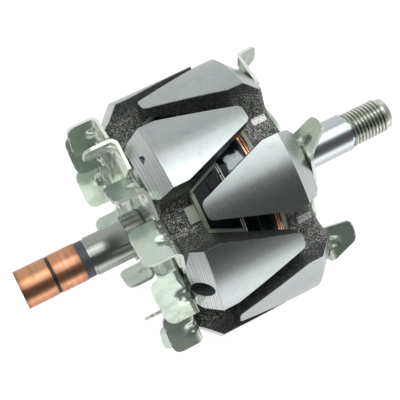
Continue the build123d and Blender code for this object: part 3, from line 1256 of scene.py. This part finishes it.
@dataclass(frozen=True)
class Blade:
    """One bent-up blade of a pressed fan, in millimetres and degrees."""

    plate_r: float
    middle_r: float
    chord: float
    sweep: float
    height: float
    corner_r: float
    lean: float = 0.0
    taper: float = 0.0
    gusset_at: float = 0.0
    dot_at: float | None = None

    def corner(self) -> tuple[Vector, float, Vector]:
        """Give where the plate's and the blade's middle lines meet.

        Returns:
            The corner, the height along the blade there, and the blade's direction.
        """
        half = SIZES.sheet / MM / 2
        lean = math.radians(self.lean)
        up = Vector((math.cos(lean), math.sin(lean)))
        inward = Vector((up.y, -up.x))
        along = (half - inward.x * half) / up.x
        return inward * half + up * along, along, up

    def lobe(self) -> float:
        """Give the length of the flat that ties the blade to the plate."""
        return self.middle_r - self.plate_r + SIZES.lobe_hold / MM

    def bend(self) -> tuple[float, float, float, float]:
        """Measure the bend between the lobe and the blade.

        Returns:
            The flat's length before it, its turn in radians, its radius, and how far its
            ends are from the corner.
        """
        corner, _, _ = self.corner()
        turn = math.pi / 2 - math.radians(self.lean)
        radius = (SIZES.bend_r + SIZES.sheet / 2) / MM
        tangent = radius * math.tan(turn / 2)
        return corner.y - tangent + self.lobe(), turn, radius, tangent

    def length(self) -> float:
        """Give the length of the sheet's middle line."""
        _, along, _ = self.corner()
        flat, turn, radius, tangent = self.bend()
        return flat + radius * turn + self.height - along - tangent

    def path(self, distance: float) -> tuple[Vector, Vector, float]:
        """Follow the sheet's middle line from the lobe's root to the free edge.

        Args:
            distance: how far along it.

        Returns:
            The point, the direction there, and the height up the blade.
        """
        corner, along, up = self.corner()
        flat, turn, radius, tangent = self.bend()
        arc = radius * turn
        if distance <= flat:
            return Vector((corner.x, -self.lobe() + distance)), Vector((0, 1)), 0.0
        if distance <= flat + arc:
            part = (distance - flat) / radius
            centre = Vector((corner.x + radius, corner.y - tangent))
            point = centre + radius * Vector((-math.cos(part), math.sin(part)))
            return point, Vector((math.sin(part), math.cos(part))), tangent * part / turn
        rest = distance - flat - arc
        return corner + up * (tangent + rest), up, along + tangent + rest

    def span(self, height: float) -> tuple[float, float]:
        """Give where the blade's two side edges are.

        Args:
            height: the height up the blade.

        Returns:
            The inner and the outer edge, along the chord from its middle.
        """
        inner = -self.chord / 2
        outer = self.chord / 2 - self.taper * max(height, 0.0) / self.height
        below = self.height - height
        if below < self.corner_r:
            rise = self.corner_r ** 2 - (self.corner_r - below) ** 2
            inset = self.corner_r - math.sqrt(max(rise, 0.0))
            return inner + inset, outer - inset
        return inner, outer

    def press(self, across: float, distance: float, bend_at: float) -> float:
        """Give how far the press has pushed the sheet inward.

        Args:
            across: the place along the chord.
            distance: the place along the sheet's middle line.
            bend_at: where the middle of the bend is.

        Returns:
            The depth in millimetres.
        """
        aside, past = across - self.gusset_at, distance - bend_at
        gusset = (aside / PRESS.gusset_half_width) ** 4 + (past / PRESS.gusset_half_length) ** 4
        depth = PRESS.gusset_depth * math.exp(-gusset)
        arch_top = bend_at - PRESS.arch_below_bend
        side = math.hypot(aside, max(distance - arch_top, 0.0))
        fade = min(max(distance / 2.0 - 1.0, 0.0), 1.0)
        arch = math.exp(-(((side - PRESS.arch_r) / PRESS.arch_width) ** 2))
        depth -= PRESS.arch_depth * fade * arch
        if self.dot_at is not None:
            dot_across = (across - self.dot_at) / PRESS.dot_r
            dot_along = (past - PRESS.dot_past_bend) / PRESS.dot_r
            depth += PRESS.dot_depth * math.exp(-(dot_across ** 2 + dot_along ** 2))
        return depth

    def add_to(
        self, shape: bmesh.types.BMesh, angle: float, end: End, across: int, along: int
    ) -> None:
        """Add the blade's middle surface.

        Args:
            shape: where it goes.
            angle: the blade's place round the shaft.
            end: the end of the rotor that it is on.
            across: facets along the chord.
            along: facets along the sheet's middle line.
        """
        sweep = math.radians(self.sweep)
        outward = Vector((0, math.cos(sweep), math.sin(sweep)))
        chordwise = Vector((0, -math.sin(sweep), math.cos(sweep)))
        turn = Matrix.Rotation(math.radians(angle), 3, "X")
        flat, bend, radius, _ = self.bend()
        bend_at = flat + radius * bend / 2
        total = self.length()
        grid = bmesh.ops.create_grid(shape, x_segments=across, y_segments=along, size=0.5)
        for vert in grid["verts"]:
            share, distance = vert.co.x + 0.5, (vert.co.y + 0.5) * total
            point, heading, height = self.path(distance)
            inner, outer = self.span(height)
            place = inner + (outer - inner) * share
            inward = Vector((heading.y, -heading.x))
            point = point + inward * self.press(place, distance, bend_at)
            at = Vector((SIZES.face_x / MM, 0, self.middle_r)) + Vector((point.x, 0, 0))
            at = turn @ (at + outward * point.y + chordwise * place)
            vert.co = Vector((at.x * end.value, at.y, at.z)) * MM


@dataclass
class Fan(SubAssembly):
    """Pressed sheet fan: a flat plate with blades bent up from its rim."""

    name: str
    node: str
    end: End
    blades: list[tuple[float, Blade]]
    paints: Paints
    across: int = 32
    along: int = 44
    smooth_deg: float = 40.0
    bevel: float = 0.34 * MM
    bevel_deg: float = 50.0
    edge_slot: int = 1
    edge_near: float = 0.15
    plate_lift_mm: float = 0.05
    plate_below_mm: float = 0.02
    recess_mm: float = 0.4
    recess_width_mm: Span = (1.5, 2.2)

    def build(self) -> list[str]:
        """Make the blades and the plate as one piece of overlapping shells.

        The thickness goes to one side of each blade's middle surface, outwards on all blades but
        one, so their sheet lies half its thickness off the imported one.

        Returns:
            The piece's name.
        """
        shape = bmesh.new()
        for angle, blade in self.blades:
            blade.add_to(shape, angle, self.end, self.across, self.along)
        bmesh.ops.recalc_face_normals(shape, faces=shape.faces)
        bmesh.ops.solidify(shape, geom=shape.faces[:], thickness=SIZES.sheet)
        self.mark_edges(shape)
        self.plate(shape)
        materials = [self.paints.zinc, self.paints.edge]
        piece = to_piece(self.name, shape, materials, self.smooth_deg)
        bevel = piece.modifiers.new("eased", "BEVEL")
        bevel.width = self.bevel
        bevel.segments = 2
        bevel.material = self.edge_slot
        bevel.limit_method = "ANGLE"
        bevel.angle_limit = math.radians(self.bevel_deg)
        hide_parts(self.node)
        return [piece.name]

    def mark_edges(self, shape: bmesh.types.BMesh) -> None:
        """Give the sheared edges their own finish: faces with sides as long as the sheet is thick.

        Args:
            shape: the thickened blades.
        """
        near = self.edge_near * SIZES.sheet
        for face in shape.faces:
            lengths = sorted(edge.calc_length() for edge in face.edges)
            if any(abs(length - SIZES.sheet) < near for length in lengths[-2:]):
                face.material_index = self.edge_slot

    def plate(self, shape: bmesh.types.BMesh) -> None:
        """Add the flat plate, with a shallow recess round its bore.

        Args:
            shape: where it goes.
        """
        near = SIZES.face_x / MM + self.plate_lift_mm
        far = (SIZES.face_x + SIZES.sheet) / MM
        top, sunk = far - self.plate_below_mm, far - self.recess_mm
        bore, rim = SIZES.fan_bore_r / MM, self.blades[0][1].plate_r
        inner, outer = self.recess_width_mm
        profile = (
            (near, bore),
            (near, rim),
            (top, rim),
            (top, bore + outer),
            (sunk, bore + inner),
            (sunk, bore),
            (near, bore),
        )
        spin_profile(shape, [(self.end.value * x, radius) for x, radius in profile])


@dataclass
class CadDress(SubAssembly):
    """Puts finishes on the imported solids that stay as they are."""

    paints: Paints

    def build(self) -> list[str]:
        """Dress each node.

        Returns:
            The nodes' names.
        """
        finishes = {
            "pole_core": self.paints.core,
            "drive_pole_half": self.paints.pole,
            "rear_pole_half": self.paints.pole,
            "bobbin": self.paints.nylon,
            "field_coil": self.paints.wire,
            "coil_lead_outer": self.paints.wire,
            "coil_lead_inner": self.paints.wire,
            "ring_carrier": self.paints.plastic,
            "lead_strip": self.paints.plastic,
        }
        for node, material in finishes.items():
            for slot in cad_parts[node].material_slots:
                slot.material = material
        return list(finishes)


@dataclass(frozen=True)
class SoftBox:
    """Rectangular lamp that faces the shaft. Metres and watts."""

    name: str
    place: tuple[float, float, float]
    size: Span
    power: float

    def hang(self) -> None:
        """Add the lamp, turned about X until it faces the shaft."""
        data = bpy.data.lights.new(self.name, "AREA")
        data.shape = "RECTANGLE"
        data.size, data.size_y = self.size
        data.energy = self.power
        lamp = bpy.data.objects.new(self.name, data)
        lamp.location = self.place
        lamp.rotation_euler = (math.atan2(-self.place[1], self.place[2]), 0.0, 0.0)
        bpy.context.scene.collection.objects.link(lamp)


@dataclass
class Studio(SubAssembly):
    """Floor, lamps, world and camera."""

    camera_at: tuple[float, float, float] = (-0.07797, 0.02584, 0.35466)
    camera_turn_deg: tuple[float, float, float] = (1.549, -12.290, -25.850)
    lens_mm: float = 86.47
    floor_z: float = -0.0482
    floor_reach: float = 4.0
    floor_seen: float = 0.90
    floor_mirrored: float = 0.74
    floor_mirrored_more: float = 0.42
    mirrored_y: Span = (0.05, -0.30)
    floor_matt: Colour = (0.30, 0.30, 0.30)
    lamps: tuple[SoftBox, ...] = (
        SoftBox("key", (0.15, 0.46, 0.80), (1.30, 0.90), 6.1),
        SoftBox("key_core", (0.15, 0.53, 0.79), (1.30, 0.20), 1.2),
        SoftBox("side", (0.06, -0.90, 0.10), (1.40, 0.50), 2.5),
    )
    sky: float = 0.55
    sky_less: float = 0.45
    overhead: Span = (0.15, 0.70)
    window: float = 0.40
    window_y: Span = (0.70, 0.95)
    sky_seen: float = 0.98

    def build(self) -> list[str]:
        """Set up everything round the rotor.

        Returns:
            What was set up.
        """
        self.camera()
        self.floor()
        for lamp in self.lamps:
            lamp.hang()
        self.world()
        bpy.context.scene.view_settings.view_transform = "Standard"
        return ["camera", "floor", *(lamp.name for lamp in self.lamps), "world"]

    def camera(self) -> None:
        """Place the camera where the photograph was taken from."""
        data = bpy.data.cameras.new("camera")
        data.lens = self.lens_mm
        data.sensor_width = 36.0
        data.clip_start = 0.01
        camera = bpy.data.objects.new("camera", data)
        camera.location = self.camera_at
        camera.rotation_euler = Euler([math.radians(a) for a in self.camera_turn_deg], "XYZ")
        bpy.context.scene.collection.objects.link(camera)
        bpy.context.scene.camera = camera

    def floor(self) -> None:
        """Lay a large pale floor that looks white and keeps the rotor's shadow."""
        mesh = bpy.data.meshes.new("floor")
        shape = bmesh.new()
        bmesh.ops.create_grid(shape, x_segments=1, y_segments=1, size=self.floor_reach)
        bmesh.ops.translate(shape, verts=shape.verts, vec=(0, 0, self.floor_z))
        shape.to_mesh(mesh)
        shape.free()
        floor = bpy.data.objects.new("floor", mesh)
        bpy.context.scene.collection.objects.link(floor)
        mesh.materials.append(self.floor_paint())

    def floor_paint(self) -> bpy.types.Material:
        """Make the floor's material: a glow for the camera and in mirrors, over matt grey.

        Returns:
            The new material.
        """
        material = bpy.data.materials.new("floor")
        graph = Graph(material)
        rays = graph.add("ShaderNodeLightPath").outputs
        _, y, _ = graph.xyz()
        more = graph.times(graph.steps(y, *self.mirrored_y), self.floor_mirrored_more)
        mirrored = graph.math("ADD", self.floor_mirrored, more)
        seen = graph.math("MAXIMUM", rays["Is Camera Ray"], rays["Is Transmission Ray"])
        seen = graph.math("MAXIMUM", seen, graph.times(rays["Is Glossy Ray"], mirrored))
        strength = graph.times(seen, self.floor_seen)
        glow = graph.add("ShaderNodeEmission", {"Color": WHITE, "Strength": strength})
        matt = graph.add("ShaderNodeBsdfDiffuse", {"Color": (*self.floor_matt, 1.0)})
        both = graph.add("ShaderNodeAddShader", {0: glow.outputs[0], 1: matt.outputs[0]})
        graph.add("ShaderNodeOutputMaterial", {0: both.outputs[0]})
        return material

    def world(self) -> None:
        """Light the scene softly from all round, less from above, more from the window."""
        world = bpy.data.worlds.new("world")
        graph = Graph(world)
        heading = graph.add("ShaderNodeTexCoord").outputs["Generated"]
        parts = graph.add("ShaderNodeSeparateXYZ", {0: heading}).outputs
        above = graph.times(graph.steps(parts[2], *self.overhead), self.sky_less)
        window = graph.times(graph.steps(parts[1], *self.window_y), self.window)
        strength = graph.math("ADD", graph.math("SUBTRACT", self.sky, above), window)
        seen = graph.add("ShaderNodeLightPath").outputs["Is Camera Ray"]
        strength = graph.math("MAXIMUM", strength, graph.times(seen, self.sky_seen))
        sky = graph.add("ShaderNodeBackground", {"Color": WHITE, "Strength": strength})
        graph.add("ShaderNodeOutputWorld", {0: sky.outputs[0]})
        bpy.context.scene.world = world


def rear_fan(paints: Paints) -> Fan:
    """Describe the rear fan: twelve upright blades, evenly spaced.

    Args:
        paints: the rotor's finishes.

    Returns:
        The fan, not yet built.
    """
    blade = Blade(
        plate_r=31.4,
        middle_r=41.35,
        chord=16.2,
        sweep=48.3,
        height=12.7,
        corner_r=3.6,
        gusset_at=1.2,
        dot_at=-4.6,
    )
    blades = [(32.9 + 30 * index, blade) for index in range(12)]
    return Fan("rear_fan_pressing", "rear_fan", End.REAR, blades, paints)


def drive_fan(paints: Paints) -> Fan:
    """Describe the drive fan: six leaning blades at uneven steps, the first further out.

    Args:
        paints: the rotor's finishes.

    Returns:
        The fan, not yet built.
    """
    blade = Blade(
        plate_r=30.0,
        middle_r=39.2,
        chord=13.9,
        sweep=44.8,
        height=11.4,
        corner_r=2.0,
        lean=26.0,
        taper=6.2,
        gusset_at=-0.8,
    )
    far_blade = replace(blade, middle_r=42.4)
    near_angles = (-7.7, 58.5, 115.0, 171.5, 228.0)
    blades = [(-75.8, far_blade)] + [(angle, blade) for angle in near_angles]
    return Fan("drive_fan_pressing", "drive_fan", End.DRIVE, blades, paints)


def main() -> None:
    """Build the scene in order."""
    logging.basicConfig(level=logging.INFO, format="%(message)s")
    paints = Paints()
    parts: list[SubAssembly] = [
        CadDress(paints),
        Shaft(paints),
        SlipRings(paints),
        Winding(paints),
        rear_fan(paints),
        drive_fan(paints),
        Studio(),
    ]
    for part in parts:
        for name in part.build():
            log.info("%s: %s", type(part).__name__, name)


if __name__ == "__main__":
    main()
